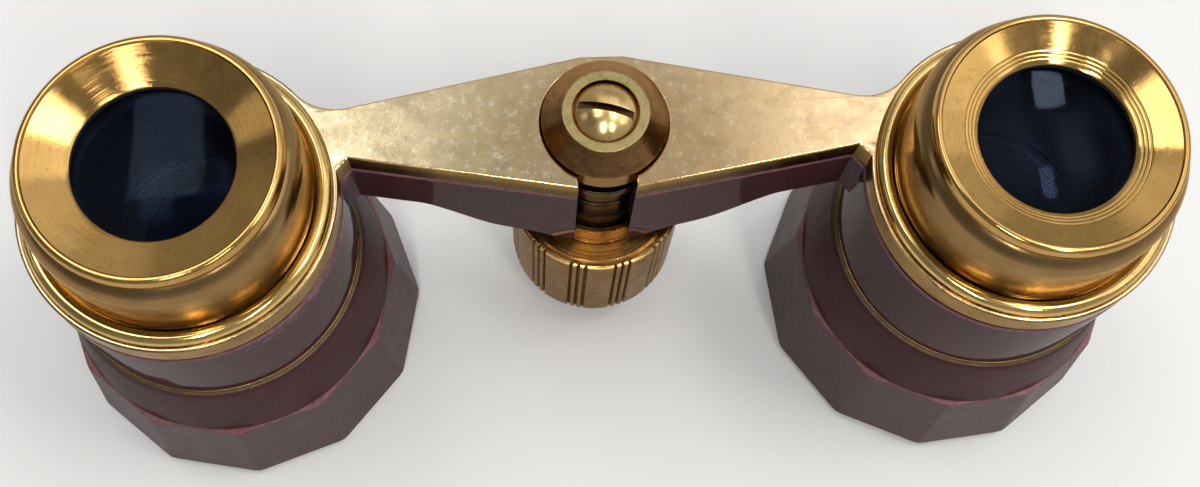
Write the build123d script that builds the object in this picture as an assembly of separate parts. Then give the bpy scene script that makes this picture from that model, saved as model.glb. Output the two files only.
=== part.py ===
from build123d import *
import math
import os

# Opera glasses of the Galilean kind, standing on their objective ends.
# Frame: +Z along the optical axes towards the eyes, X from left to right as a holder facing
# the slotted side sees it, the slotted side towards -Y. The origin is midway between the
# optical axes, on the plane the objective cells rest on. Millimetres.

# ---- driving dimensions ----
AXIS_X = 31.0             # optical axes at x = -AXIS_X and +AXIS_X
SPINDLE_Y = 4.97          # the focusing axis lies behind the plane of the optical axes
SLIDE_FIT = 0.05          # radial clearance of sliding and turning fits
JOINT_GAP = 0.03          # radial clearance drawn in screwed and pressed joints

# heights above the resting plane
CELL_CHAMFER = 1.0        # top of the chamfer at the cell's front edge
FACET_TOP = 10.8          # top of the twelve flats
COLLAR_TOP = 17.65        # top of the conical collar
BARREL_BASE = 17.9        # shoulder of the body above the gilt seam ring
BRIDGE_BASE = 22.15       # underside of the body's bridge beside the barrels
BODY_TOP = 27.6           # top face of the body casting
PLATE_BASE = 28.0         # underside of the eyepiece bridge
PLATE_TOP = 30.2          # flat face of the eyepiece bridge
TUBE_NECK_TOP = 31.05     # the eyepiece tube's neck ends just above the bead ring
TUBE_SEAM = 37.45         # joint between the eyepiece tube and its cup
EYE_OPENING = 37.15       # edge of the eye opening
CREST = 38.45             # highest point, the rim of the cup

# radii
FACETS = 12
FACET_BASE_R = 15.15      # corner radius at the foot of the flats
FACET_TOP_R = 13.7        # corner radius at the top of the flats
COLLAR_FOOT_R = 13.1
COLLAR_TOP_R = 11.72
BARREL_R = 11.5
SPIGOT_R = 10.9           # threaded neck of the body inside the cell
BARREL_BORE_R = 10.1
SLEEVE_BORE_R = 9.05      # bore of the guide sleeve
RING_R = 11.46            # outer wall of the eyepiece bridge round each tube
BEAD_R = 10.45            # centre line of the bead on that ring
BEAD_SECTION_R = 0.62
TUBE_R = 9.8
TUBE_NECK_R = 9.6
CUP_R = 9.0
EYE_R = 5.57              # eye opening
LENS_R = 12.5             # objective lenses, 25 mm across
BRIDGE_FRONT_Y = -0.2     # front wall of the bridges beside the slot
BRIDGE_END = (18.85, 2.65)      # where the front wall meets the chamfer at the barrel
BRIDGE_CORNER = (19.7, 1.7)     # where that chamfer meets the barrel
BRIDGE_BACK_Y = 10.3      # middle of the back wall
BRIDGE_BACK_END = (20.0, 6.45)  # where the back wall meets the barrel
SLOT_HALF_WIDTH = 2.15

# focusing gear
CAP_R = 4.72
CAP_FACE_R = 3.18
PILLAR_R = 4.0
PILLAR_TAIL_R = 3.5       # lower end of the pillar, inside the wheel
PILLAR_BORE_R = 2.58
PILLAR_FLANGE_R = 4.6
SCREW_R = 2.5
WHEEL_R = 7.15
WHEEL_TOP = 16.2
WHEEL_BASE = 3.4
NECK_R = 4.1              # neck of the wheel, turning in the bearing ring
NECK_TOP = 19.8
BEARING_R = 4.85
FLUTE_GROUPS = 12
FLUTES_IN_GROUP = 3
FLUTE_STEP = 5.0          # degrees between the grooves of one group
FLUTE_DEPTH = 0.32


def at_profile(point):
    """A (radius, height) pair as a point of the sketch plane."""
    return Vector(point[0], point[1])


def turned(*path):
    """A solid of revolution about Z. Each step is a (radius, height) corner, or a pair of
    such points: the middle and the end of an arc."""
    edges = []
    here = path[0]
    for step in path[1:] + (path[0],):
        if isinstance(step[0], tuple):
            middle, end = step
            edges.append(ThreePointArc(at_profile(here), at_profile(middle), at_profile(end)))
        else:
            end = step
            edges.append(Line(at_profile(here), at_profile(end)))
        here = end
    outline = make_face(Curve() + edges)
    return revolve(Plane.XZ * outline, Axis.Z)


def both_sides(name, solid, turns=(0.0, 0.0)):
    """Left and right copies of a piece that belongs to one barrel."""
    left = Pos(-AXIS_X, 0, 0) * Rot(0, 0, turns[0]) * solid
    right = Pos(AXIS_X, 0, 0) * Rot(0, 0, turns[1]) * solid
    return {"left_" + name: left, "right_" + name: right}


def on_spindle(solid):
    return Pos(0, SPINDLE_Y, 0) * solid


def disc(radius, low, high, x=0.0, y=0.0):
    return Pos(x, y, low) * Cylinder(radius, high - low, align=(Align.CENTER, Align.CENTER, Align.MIN))


def regular_frustum(low_r, high_r, low, high):
    """A twelve-sided frustum given by its corner radii at two heights."""
    foot = Plane.XY.offset(low) * RegularPolygon(low_r, FACETS)
    head = Plane.XY.offset(high) * RegularPolygon(high_r, FACETS)
    return loft([foot, head])


# ---- bridge outline shared by the body casting and the eyepiece bridge ----
def bridge_outline(margin=0.0):
    """Plan of the bridge between the barrels, without slot: margin moves the walls in."""
    front = BRIDGE_FRONT_Y + margin
    back = BRIDGE_BACK_Y - margin
    inside = AXIS_X - 6.0
    right = [
        (BRIDGE_END[0], BRIDGE_END[1] + margin),
        (BRIDGE_CORNER[0] + margin, BRIDGE_CORNER[1]),
        (inside, BRIDGE_CORNER[1]),
        (inside, BRIDGE_BACK_END[1] + 2.6),
        (BRIDGE_BACK_END[0] + 2.4, BRIDGE_BACK_END[1] + 1.35 - margin),
        (BRIDGE_BACK_END[0] + 1.0, BRIDGE_BACK_END[1] + 0.35 - margin),
        (BRIDGE_BACK_END[0] - 1.0, BRIDGE_BACK_END[1] + 0.2 - margin),
    ]
    left = [(-x, y) for x, y in reversed(right)]
    points = [(SLOT_HALF_WIDTH, front)] + right + [(1.6, back), (-1.6, back)] + left
    points.append((-SLOT_HALF_WIDTH, front))
    return make_face(Polyline(*points, close=True))


def slot(low, high, inner_r):
    """The U slot in front of the focusing axis, with the bore it opens into."""
    mouth = Pos(0, SPINDLE_Y - 6.0, low) * Box(
        2 * SLOT_HALF_WIDTH, 12.0, high - low, align=(Align.CENTER, Align.CENTER, Align.MIN))
    return mouth + disc(inner_r, low, high, 0, SPINDLE_Y)


# ---- body ----
def body_casting():
    """Two barrels and the bridge between them, in one casting."""
    plan = bridge_outline(0.08)
    for x in (-AXIS_X, AXIS_X):
        plan += Pos(x, 0, 0) * Circle(BARREL_R)
    casting = Pos(0, 0, BRIDGE_BASE) * extrude(plan, BODY_TOP - BRIDGE_BASE)
    casting = chamfer(casting.edges().group_by(Axis.Z)[-1], 0.25)
    right_half = [(0.0, 18.1), (3.4, 18.1), (5.4, 18.8), (8.0, 19.1), (9.4, 19.6), (12.3, 21.5),
                  (13.6, BRIDGE_BASE), (13.6, BRIDGE_BASE + 1)]
    left_half = [(-x, z) for x, z in reversed(right_half[1:])]
    arch = extrude(Plane.XZ * make_face(Polyline(*right_half, *left_half, close=True)), amount=14, both=True)
    casting += arch & extrude(bridge_outline(0.08), BODY_TOP)
    for x in (-AXIS_X, AXIS_X):
        casting += disc(BARREL_R, BARREL_BASE, BRIDGE_BASE, x)
        casting += disc(SPIGOT_R, 12.4, BARREL_BASE, x)
    for x in (-AXIS_X, AXIS_X):
        casting -= disc(BARREL_BORE_R, 12.0, BODY_TOP - 0.5, x)
        casting -= disc(9.75, BODY_TOP - 1, BODY_TOP + 1, x)
    casting -= slot(17.0, BODY_TOP + 1, PILLAR_R + SLIDE_FIT)
    casting -= disc(PILLAR_FLANGE_R + 0.15, BODY_TOP - 1.75, BODY_TOP + 1, 0, SPINDLE_Y)
    casting -= disc(BEARING_R + JOINT_GAP, 17.0, NECK_TOP + 0.25, 0, SPINDLE_Y)
    return casting


def guide_sleeve():
    """Thin lining that the eyepiece tube slides in, with a lip at its top."""
    return turned(
        (SLEEVE_BORE_R, 18.4), (BARREL_BORE_R - JOINT_GAP, 18.4),
        (BARREL_BORE_R - JOINT_GAP, BODY_TOP - 0.55), (9.7, BODY_TOP - 0.55), (9.7, BODY_TOP - 0.05),
        (SLEEVE_BORE_R, BODY_TOP - 0.05))


def seam_ring():
    """Bare gilt ring between the body's shoulder and the objective cell."""
    return turned(
        (SPIGOT_R + JOINT_GAP, COLLAR_TOP), (COLLAR_TOP_R - 0.02, COLLAR_TOP),
        (COLLAR_TOP_R - 0.02, BARREL_BASE - 0.05), (COLLAR_TOP_R - 0.08, BARREL_BASE),
        (SPIGOT_R + JOINT_GAP, BARREL_BASE))


def objective_cell():
    """Conical collar with a twelve-sided front end and the stepped bore for the lenses."""
    front = regular_frustum(FACET_BASE_R, FACET_TOP_R, CELL_CHAMFER, FACET_TOP)
    front += regular_frustum(FACET_BASE_R - 0.75, FACET_BASE_R, 0, CELL_CHAMFER)
    collar = turned(
        (0, FACET_TOP - 2), (COLLAR_FOOT_R, FACET_TOP - 2), (COLLAR_FOOT_R, FACET_TOP),
        (COLLAR_TOP_R + 0.1, COLLAR_TOP - 0.35), (COLLAR_TOP_R, COLLAR_TOP), (0, COLLAR_TOP))
    bore = turned(
        (0, -1), (13.2, -1), (13.2, 0.4), (12.8, 2.0), (LENS_R + JOINT_GAP, 2.0),
        (LENS_R + JOINT_GAP, 9.2), (11.7, 9.2), (10.2, 12.3), (SPIGOT_R + JOINT_GAP, 12.3),
        (SPIGOT_R + JOINT_GAP, COLLAR_TOP + 1), (0, COLLAR_TOP + 1))
    return front + collar - bore


# ---- optics ----
def on_sphere(axis_height, radius, edge_height):
    """Middle point of the meridian of a spherical face, from the axis out to the radius."""
    sag = edge_height - axis_height
    sphere_r = (radius ** 2 + sag ** 2) / (2 * abs(sag))
    half_turn = math.asin(radius / sphere_r) / 2
    rise = math.copysign(sphere_r * (1 - math.cos(half_turn)), sag)
    return (sphere_r * math.sin(half_turn), axis_height + rise)


def lens(radius, low, high):
    """A lens with spherical faces. low and high are the heights of each face on the axis and
    at the edge."""
    return turned(
        (0, low[0]), (on_sphere(low[0], radius, low[1]), (radius, low[1])), (radius, high[1]),
        (on_sphere(high[0], radius, high[1]), (0, high[0])))


def objective_front_lens():
    """Biconvex crown element, 25 mm across."""
    return lens(LENS_R, (2.55, 3.9), (7.6, 6.4))


def objective_rear_lens():
    """Flint element cemented behind the crown element."""
    return lens(LENS_R, (7.62, 6.42), (9.18, 9.12))


def objective_retainer():
    """Blackened threaded ring in front of the lenses, with two spanner slots."""
    ring = turned((11.6, 2.05), (LENS_R, 2.05), (LENS_R, 3.6), (11.6, 3.1))
    spanner = Pos(0, 0, 2.0) * Box(30.0, 1.2, 1.0)
    return ring - spanner


def glare_stop():
    """Blackened disc with a round hole, pressed into the neck of the barrel."""
    return turned(
        (6.6, 13.6), (BARREL_BORE_R - JOINT_GAP, 13.0), (BARREL_BORE_R - JOINT_GAP, 14.6),
        (9.3, 14.6), (9.3, 14.0), (6.6, 14.0))


def eye_lens():
    """Biconcave eye lens, seated against the cup."""
    return lens(7.2, (34.7, 33.6), (35.6, 36.5))


def eye_lens_retainer():
    """Threaded ring that holds the eye lens up against its seat."""
    return turned((6.1, 32.0), (7.25, 32.0), (7.25, 33.55), (6.1, 33.55))


# ---- eyepiece carriage ----
def eyepiece_bridge():
    """Gilt plate joining the eyepieces, with a beaded ring round each tube."""
    plate = extrude(Pos(0, 0, PLATE_BASE) * bridge_outline(), PLATE_TOP - PLATE_BASE)
    for x in (-AXIS_X, AXIS_X):
        plate -= disc(RING_R - 0.6, PLATE_BASE - 1, PLATE_TOP + 1, x, 0)
    quirk = PLATE_TOP - 0.3
    bead_z = PLATE_TOP + 0.1
    seat = bead_z - 0.15
    crown = bead_z + BEAD_SECTION_R
    ring = turned(
        (8.84, PLATE_BASE), (RING_R, PLATE_BASE), (RING_R, quirk), (RING_R - 0.3, quirk + 0.1),
        (BEAD_R + BEAD_SECTION_R, bead_z), ((BEAD_R, crown), (BEAD_R - BEAD_SECTION_R, bead_z)),
        (BEAD_R - BEAD_SECTION_R, seat), (8.84, seat))
    for x in (-AXIS_X, AXIS_X):
        plate += Pos(x, 0, 0) * ring
    plate -= slot(PLATE_BASE - 1, PLATE_TOP + 1, PILLAR_R + JOINT_GAP)
    plate -= disc(CAP_R + JOINT_GAP, PLATE_BASE + 1.0, PLATE_TOP + 1, 0, SPINDLE_Y)
    return plate


def eyepiece_tube():
    """Polished sleeve: a skirt that slides in the barrel, a narrow neck inside the bead, a wide
    body and a rounded shoulder."""
    foot = PLATE_TOP - 0.05
    shoulder = TUBE_SEAM - 1.6
    skirt_r = SLEEVE_BORE_R - SLIDE_FIT
    return turned(
        (8.1, 18.6), (skirt_r - 0.2, 18.6), (skirt_r - 0.2, PLATE_BASE - 0.2), (8.81, PLATE_BASE - 0.2),
        (8.81, foot), (TUBE_NECK_R, foot), (TUBE_NECK_R, TUBE_NECK_TOP), (TUBE_R, TUBE_NECK_TOP),
        (TUBE_R, shoulder), ((9.55, shoulder + 0.98), (CUP_R - 0.05, TUBE_SEAM)),
        (8.2, TUBE_SEAM), (8.2, 34.6), (7.3, 34.6), (7.3, 31.0), (8.1, 30.2))


def eyepiece_cup():
    """Rim and dished face round the eye opening, screwed into the tube."""
    return turned(
        (8.17, 34.7), (8.17, TUBE_SEAM), (CUP_R, TUBE_SEAM), (CUP_R, CREST - 0.45),
        ((CUP_R - 0.12, CREST - 0.12), (CUP_R - 0.42, CREST)), (CUP_R - 0.62, CREST - 0.12),
        (EYE_R + 0.25, EYE_OPENING + 0.08), (EYE_R, EYE_OPENING - 0.1), (EYE_R, 36.6),
        (7.23, 36.55), (7.23, 34.7))


# ---- focusing gear ----
def cone_cap():
    """Bronze cap: short rim, cone and flat ring with a sunk seat for the screw head."""
    return on_spindle(turned(
        (1.55, 29.0), (CAP_R, 29.0), (CAP_R, 30.75), (CAP_FACE_R + 0.05, 32.2), (CAP_FACE_R, 32.25),
        (2.47, 32.25), (2.47, 31.2), (1.55, 31.2)))


def cap_screw():
    """Slotted dome-head screw that clamps the cap and the bridge to the pillar."""
    head_r = 2.36
    screw = turned(
        (0, 25.6), (1.5, 25.6), (1.5, 31.22), (head_r, 31.22), (head_r, 32.0),
        ((1.72, 32.62), (0, 32.95)))
    cut = Pos(0, 0, 33.1) * Rot(0, 0, -13) * Box(6.0, 0.62, 1.9)
    return on_spindle(screw - cut)


def focusing_pillar():
    """Tube that hangs from the bridge, threaded inside for the focusing screw."""
    pillar = turned(
        (PILLAR_BORE_R, 8.0), (PILLAR_TAIL_R, 8.0), (PILLAR_TAIL_R, 20.1), (PILLAR_R, 20.3),
        (PILLAR_R, 22.6), (3.82, 22.75), (3.82, 23.6), (PILLAR_R, 23.75), (PILLAR_R, 26.4),
        (PILLAR_FLANGE_R, 26.45), (PILLAR_FLANGE_R, 27.2), (PILLAR_R, 27.25), (PILLAR_R, 28.97),
        (1.53, 28.97), (1.53, 25.5), (PILLAR_BORE_R, 25.5))
    return on_spindle(pillar)


def focusing_screw():
    """Coarse screw fixed in the foot of the wheel, turning inside the pillar."""
    return on_spindle(turned(
        (0, 2.7), (1.6, 2.7), (1.6, 5.4), (SCREW_R, 5.4), (SCREW_R, 24.6), (SCREW_R - 0.4, 25.0), (0, 25.0)))


def bearing_ring():
    """Threaded ring in the underside of the body bridge, in which the wheel's neck turns."""
    return on_spindle(turned(
        (NECK_R + SLIDE_FIT, 15.85), (BEARING_R - 0.1, 15.85), (BEARING_R, 15.95), (BEARING_R, 16.7),
        (BEARING_R - 0.12, 16.8), (BEARING_R, 16.9), (BEARING_R, 18.95), (NECK_R + SLIDE_FIT, 18.95)))


def neck_clip():
    """Open spring clip in the groove of the wheel's neck, above the bearing ring."""
    clip = turned((NECK_R - 0.17, 19.05), (4.7, 19.05), (4.7, 19.45), (NECK_R - 0.17, 19.45))
    gap = Pos(0, 4.4, 19.0) * Box(1.6, 2.0, 1.0)
    return on_spindle(clip - gap)


def focusing_wheel():
    """Fluted wheel: raised rim, turned face, neck and twelve groups of V grooves."""
    pillar_hole = PILLAR_TAIL_R + 0.08
    wheel = turned(
        (1.63, WHEEL_BASE), (6.2, WHEEL_BASE), ((6.85, WHEEL_BASE + 0.3), (WHEEL_R, WHEEL_BASE + 1.0)),
        (WHEEL_R, WHEEL_TOP - 0.3), (WHEEL_R - 0.2, WHEEL_TOP), (6.8, WHEEL_TOP), (6.32, WHEEL_TOP - 0.95),
        (6.25, WHEEL_TOP - 0.8), (5.75, WHEEL_TOP - 0.8), (5.65, WHEEL_TOP - 0.6), (NECK_R, WHEEL_TOP - 0.6),
        (NECK_R, 19.0), (NECK_R - 0.2, 19.0), (NECK_R - 0.2, 19.5), (NECK_R, 19.5), (NECK_R, NECK_TOP),
        (pillar_hole, NECK_TOP), (pillar_hole, 7.5), (SCREW_R + JOINT_GAP, 7.5),
        (SCREW_R + JOINT_GAP, 5.35), (1.63, 5.35))
    outside = WHEEL_R + 0.4
    half_width = FLUTE_DEPTH + 0.4
    notch = make_face(Polyline(
        (outside, -half_width), (outside, half_width), (WHEEL_R - FLUTE_DEPTH, 0), close=True))
    cutter = Pos(0, 0, WHEEL_BASE - 1) * extrude(notch, WHEEL_TOP - WHEEL_BASE + 2)
    cutters = []
    for group in range(FLUTE_GROUPS):
        middle = (group + 0.5) * 360 / FLUTE_GROUPS
        for flute in range(FLUTES_IN_GROUP):
            angle = middle + (flute - (FLUTES_IN_GROUP - 1) / 2) * FLUTE_STEP
            cutters.append(Rot(0, 0, angle) * cutter)
    return on_spindle(wheel - cutters)


def wheel_nut():
    """Round nut under the wheel that locks the focusing screw."""
    nut = turned((1.63, 2.5), (4.2, 2.5), (4.4, 2.7), (4.4, WHEEL_BASE - 0.02), (1.63, WHEEL_BASE - 0.02))
    spanner = Pos(0, 0, 2.5) * Box(12.0, 1.0, 0.6)
    return on_spindle(nut - spanner)


def wave_washer():
    """Spring washer between the wheel and the bearing ring, drawn flat."""
    return on_spindle(turned((NECK_R + 0.05, 15.62), (4.75, 15.62), (4.75, 15.84), (NECK_R + 0.05, 15.84)))


def all_parts():
    parts = {"body_casting": body_casting(), "eyepiece_bridge": eyepiece_bridge()}
    parts.update(both_sides("objective_cell", objective_cell(), (3.8, 21.0)))
    parts.update(both_sides("seam_ring", seam_ring()))
    parts.update(both_sides("guide_sleeve", guide_sleeve()))
    parts.update(both_sides("glare_stop", glare_stop()))
    parts.update(both_sides("objective_front_lens", objective_front_lens()))
    parts.update(both_sides("objective_rear_lens", objective_rear_lens()))
    parts.update(both_sides("objective_retainer", objective_retainer()))
    parts.update(both_sides("eyepiece_tube", eyepiece_tube()))
    parts.update(both_sides("eyepiece_cup", eyepiece_cup()))
    parts.update(both_sides("eye_lens", eye_lens()))
    parts.update(both_sides("eye_lens_retainer", eye_lens_retainer()))
    parts["cone_cap"] = cone_cap()
    parts["cap_screw"] = cap_screw()
    parts["focusing_pillar"] = focusing_pillar()
    parts["focusing_screw"] = focusing_screw()
    parts["bearing_ring"] = bearing_ring()
    parts["neck_clip"] = neck_clip()
    parts["focusing_wheel"] = focusing_wheel()
    parts["wheel_nut"] = wheel_nut()
    parts["wave_washer"] = wave_washer()
    return parts


os.makedirs("parts", exist_ok=True)
for node, solid in all_parts().items():
    export_step(solid, "parts/" + node + ".step")
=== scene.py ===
import math
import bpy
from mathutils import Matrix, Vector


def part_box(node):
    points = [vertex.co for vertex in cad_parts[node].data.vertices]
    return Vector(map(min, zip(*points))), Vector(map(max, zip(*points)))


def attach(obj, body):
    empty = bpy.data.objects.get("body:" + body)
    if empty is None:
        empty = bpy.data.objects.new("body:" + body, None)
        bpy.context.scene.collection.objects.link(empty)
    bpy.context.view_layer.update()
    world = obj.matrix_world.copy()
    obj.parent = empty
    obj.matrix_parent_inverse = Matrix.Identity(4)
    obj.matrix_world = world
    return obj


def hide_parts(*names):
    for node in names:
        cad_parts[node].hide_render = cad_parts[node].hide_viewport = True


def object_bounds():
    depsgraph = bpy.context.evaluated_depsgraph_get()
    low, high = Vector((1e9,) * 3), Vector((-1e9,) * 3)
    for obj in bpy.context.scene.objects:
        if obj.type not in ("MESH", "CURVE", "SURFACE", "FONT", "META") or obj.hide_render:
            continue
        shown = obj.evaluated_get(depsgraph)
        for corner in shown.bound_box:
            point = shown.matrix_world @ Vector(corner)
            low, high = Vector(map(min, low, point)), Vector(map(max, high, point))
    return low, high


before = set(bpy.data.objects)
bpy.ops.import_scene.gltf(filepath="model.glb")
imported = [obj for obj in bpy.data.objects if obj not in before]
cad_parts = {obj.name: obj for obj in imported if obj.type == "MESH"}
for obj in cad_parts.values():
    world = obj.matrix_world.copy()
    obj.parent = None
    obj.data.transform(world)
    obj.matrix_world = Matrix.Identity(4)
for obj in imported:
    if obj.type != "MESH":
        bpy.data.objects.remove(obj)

from types import SimpleNamespace

import bmesh
import bpy
from mathutils import Matrix, Vector

# Looks of the opera glasses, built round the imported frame. Lengths are in millimetres until a
# mesh is written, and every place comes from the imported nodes.
MM = 0.001
SHARP = 32                # edges that turn by more degrees than this are shaded sharp
PLATE_THICKNESS = 2.2     # of the eyepiece bridge, below the bead rings
SLOT_HALF_WIDTH = 2.15    # of the slot in front of the focusing pillar
BRIDGE_FRONT_Y = -0.2     # front wall of both bridges beside the slot
SPOT_SHARE = 0.35         # how strongly fine tarnish shows on gilt
cad_low, cad_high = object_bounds()
scene = bpy.context.scene


# ---------------------------------------------------------------- places
def spot(node):
    """Centre, radius, lowest and highest level of a turned CAD node, in millimetres."""
    low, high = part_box(node)
    return SimpleNamespace(
        x=(low.x + high.x) / 2 / MM, y=(low.y + high.y) / 2 / MM, r=(high.x - low.x) / 2 / MM,
        low=low.z / MM, high=high.z / MM)


def box_mm(node):
    low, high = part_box(node)
    return low / MM, high / MM


SIDES = ("left", "right")
cup = {s: spot(s + "_eyepiece_cup") for s in SIDES}
tube = {s: spot(s + "_eyepiece_tube") for s in SIDES}
seam = {s: spot(s + "_seam_ring") for s in SIDES}
eye = {s: spot(s + "_eye_lens") for s in SIDES}
cap = spot("cone_cap")
screw = spot("cap_screw")
pillar = spot("focusing_pillar")
wheel = spot("focusing_wheel")
bearing = spot("bearing_ring")
plate_low, plate_high = box_mm("eyepiece_bridge")
body_high = box_mm("body_casting")[1]
AXIS = cup["right"].x
SPINDLE_Y = cap.y
PLATE_BASE = plate_low.z
PLATE_TOP = PLATE_BASE + PLATE_THICKNESS
RING_R = plate_high.x - AXIS
BODY_TOP = body_high.z
BARREL_R = body_high.x - AXIS
BARREL_BASE = seam["left"].high


# ---------------------------------------------------------------- mesh tools
def rounded(corners, steps):
    """A closed profile from (radius, height) or (radius, height, fillet) corners."""
    path = []
    count = len(corners)
    for i, corner in enumerate(corners):
        here = Vector(corner[:2])
        fillet = corner[2] if len(corner) > 2 else 0.0
        if not fillet:
            path.append(here)
            continue
        before = Vector(corners[i - 1][:2]) - here
        after = Vector(corners[(i + 1) % count][:2]) - here
        half = before.angle(after) / 2
        reach = min(fillet / math.tan(half), 0.49 * before.length, 0.49 * after.length)
        radius = reach * math.tan(half)
        before.normalize()
        after.normalize()
        centre = here + (before + after).normalized() * (radius / math.sin(half))
        start = here + before * reach - centre
        sweep = start.angle_signed(here + after * reach - centre)
        for k in range(steps + 1):
            turn = Matrix.Rotation(-sweep * k / steps, 2)
            path.append(centre + turn @ start)
    return path


def arc(centre, radius, start, end, steps):
    """Points of an arc of a profile, angles in degrees from the outward direction."""
    points = []
    for k in range(steps + 1):
        angle = math.radians(start + (end - start) * k / steps)
        points.append((centre[0] + radius * math.cos(angle), centre[1] + radius * math.sin(angle)))
    return points


def new_object(name, mesh, material=None):
    thing = bpy.data.objects.new(name, mesh)
    scene.collection.objects.link(thing)
    if material:
        mesh.materials.append(material)
    return thing


def finish_mesh(bm, name, sharp=SHARP):
    """Closes up a bmesh, turns its faces outwards and shades it smooth between sharp edges."""
    bmesh.ops.remove_doubles(bm, verts=bm.verts, dist=1e-7)
    bmesh.ops.recalc_face_normals(bm, faces=bm.faces)
    mesh = bpy.data.meshes.new(name)
    bm.to_mesh(mesh)
    bm.free()
    smooth(mesh, sharp)
    return mesh


def smooth(mesh, sharp=SHARP):
    for polygon in mesh.polygons:
        polygon.use_smooth = True
    mesh.set_sharp_from_angle(angle=math.radians(sharp))


def skin(bm, rings, close):
    """Quads between neighbouring rings of vertices."""
    pairs = list(zip(rings, rings[1:]))
    if close:
        pairs.append((rings[-1], rings[0]))
    for low, high in pairs:
        for k in range(len(low)):
            n = (k + 1) % len(low)
            corners = [low[k], low[n], high[n], high[k]]
            if len({tuple(round(c, 9) for c in v.co) for v in corners}) > 2:
                bm.faces.new(corners)


def held(profile):
    """The profile with a point close to both ends of each long straight, so that rounded edges
    don't bend the shading of the straights."""
    margin, least = 0.05, 0.3
    path = []
    for i, point in enumerate(profile):
        here = Vector(point[:2])
        after = Vector(profile[(i + 1) % len(profile)][:2])
        path.append(here)
        run = after - here
        if run.length > least:
            path.append(here + run.normalized() * margin)
            path.append(after - run.normalized() * margin)
    return path


def ring_vert(bm, r, angle, z):
    """A vertex at a radius, an angle in radians and a height."""
    return bm.verts.new((r * MM * math.cos(angle), r * MM * math.sin(angle), z * MM))


def from_axis(polygon):
    """Distance of a face's middle from the piece's own axis, in millimetres."""
    return math.hypot(polygon.center.x, polygon.center.y) / MM


def paint(piece, look, chosen):
    """Adds a look to the piece and gives it to the faces that pass the test."""
    piece.data.materials.append(look)
    index = len(piece.data.materials) - 1
    for polygon in piece.data.polygons:
        if chosen(polygon):
            polygon.material_index = index


def turned(name, profile, place, material, segments, sharp=SHARP):
    """A solid of revolution whose object stands on its own axis."""
    profile = held(profile)
    bm = bmesh.new()
    rings = []
    for r, z in profile:
        rings.append([ring_vert(bm, r, 2 * math.pi * k / segments, z) for k in range(segments)])
    skin(bm, rings, True)
    thing = new_object(name, finish_mesh(bm, name, sharp), material)
    thing.location = (place.x * MM, place.y * MM, 0)
    return thing


def slab(name, outlines, low, high, bevel, material, steps):
    """A flat piece cut to outlines, with rounded edges: the first outline runs anticlockwise and
    the holes run clockwise."""
    curve = bpy.data.curves.new(name, "CURVE")
    curve.dimensions = "2D"
    curve.fill_mode = "BOTH"
    curve.extrude = ((high - low) / 2 - bevel) * MM
    curve.bevel_depth = bevel * MM
    curve.offset = -bevel * MM
    curve.bevel_resolution = steps
    for outline in outlines:
        spline = curve.splines.new("POLY")
        spline.points.add(len(outline) - 1)
        spline.use_cyclic_u = True
        for point, (x, y) in zip(spline.points, outline):
            point.co = (x * MM, y * MM, 0, 1)
    source = bpy.data.objects.new(name + "_curve", curve)
    scene.collection.objects.link(source)
    bpy.context.view_layer.update()
    shape = source.evaluated_get(bpy.context.evaluated_depsgraph_get())
    mesh = bpy.data.meshes.new_from_object(shape)
    bpy.data.objects.remove(source)
    mesh.transform(Matrix.Translation((0, 0, (low + high) / 2 * MM)))
    bm = bmesh.new()
    bm.from_mesh(mesh)
    bpy.data.meshes.remove(mesh)
    return new_object(name, finish_mesh(bm, name), material)


def even_shading(thing):
    """Keeps large flat faces flat in the shading next to small rounded edges."""
    modifier = thing.modifiers.new("even_shading", "WEIGHTED_NORMAL")
    modifier.keep_sharp = True
    modifier.weight = 100


def carve(thing, other, operation):
    """Boolean of two objects; the second one is used up."""
    modifier = thing.modifiers.new("carve", "BOOLEAN")
    modifier.operation = operation
    modifier.object = other
    modifier.solver = "EXACT"
    bpy.context.view_layer.update()
    shape = thing.evaluated_get(bpy.context.evaluated_depsgraph_get())
    mesh = bpy.data.meshes.new_from_object(shape)
    thing.modifiers.clear()
    old = thing.data
    thing.data = mesh
    bpy.data.meshes.remove(old)
    bpy.data.objects.remove(other)
    smooth(mesh)


def prism(name, outline, low, high, along="Z"):
    """A straight prism, used as a cutter."""
    bm = bmesh.new()
    rings = []
    for level in (low, high):
        ring = []
        for u, v in outline:
            where = (u, v, level) if along == "Z" else (u, level, v)
            ring.append(bm.verts.new(Vector(where) * MM))
        rings.append(ring)
    skin(bm, rings, False)
    bm.faces.new(rings[0])
    bm.faces.new(rings[1])
    return new_object(name, finish_mesh(bm, name))


def clockwise_circle(x, y, r, count):
    points = []
    for k in range(count):
        angle = -2 * math.pi * k / count
        points.append((x + r * math.cos(angle), y + r * math.sin(angle)))
    return points


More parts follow.
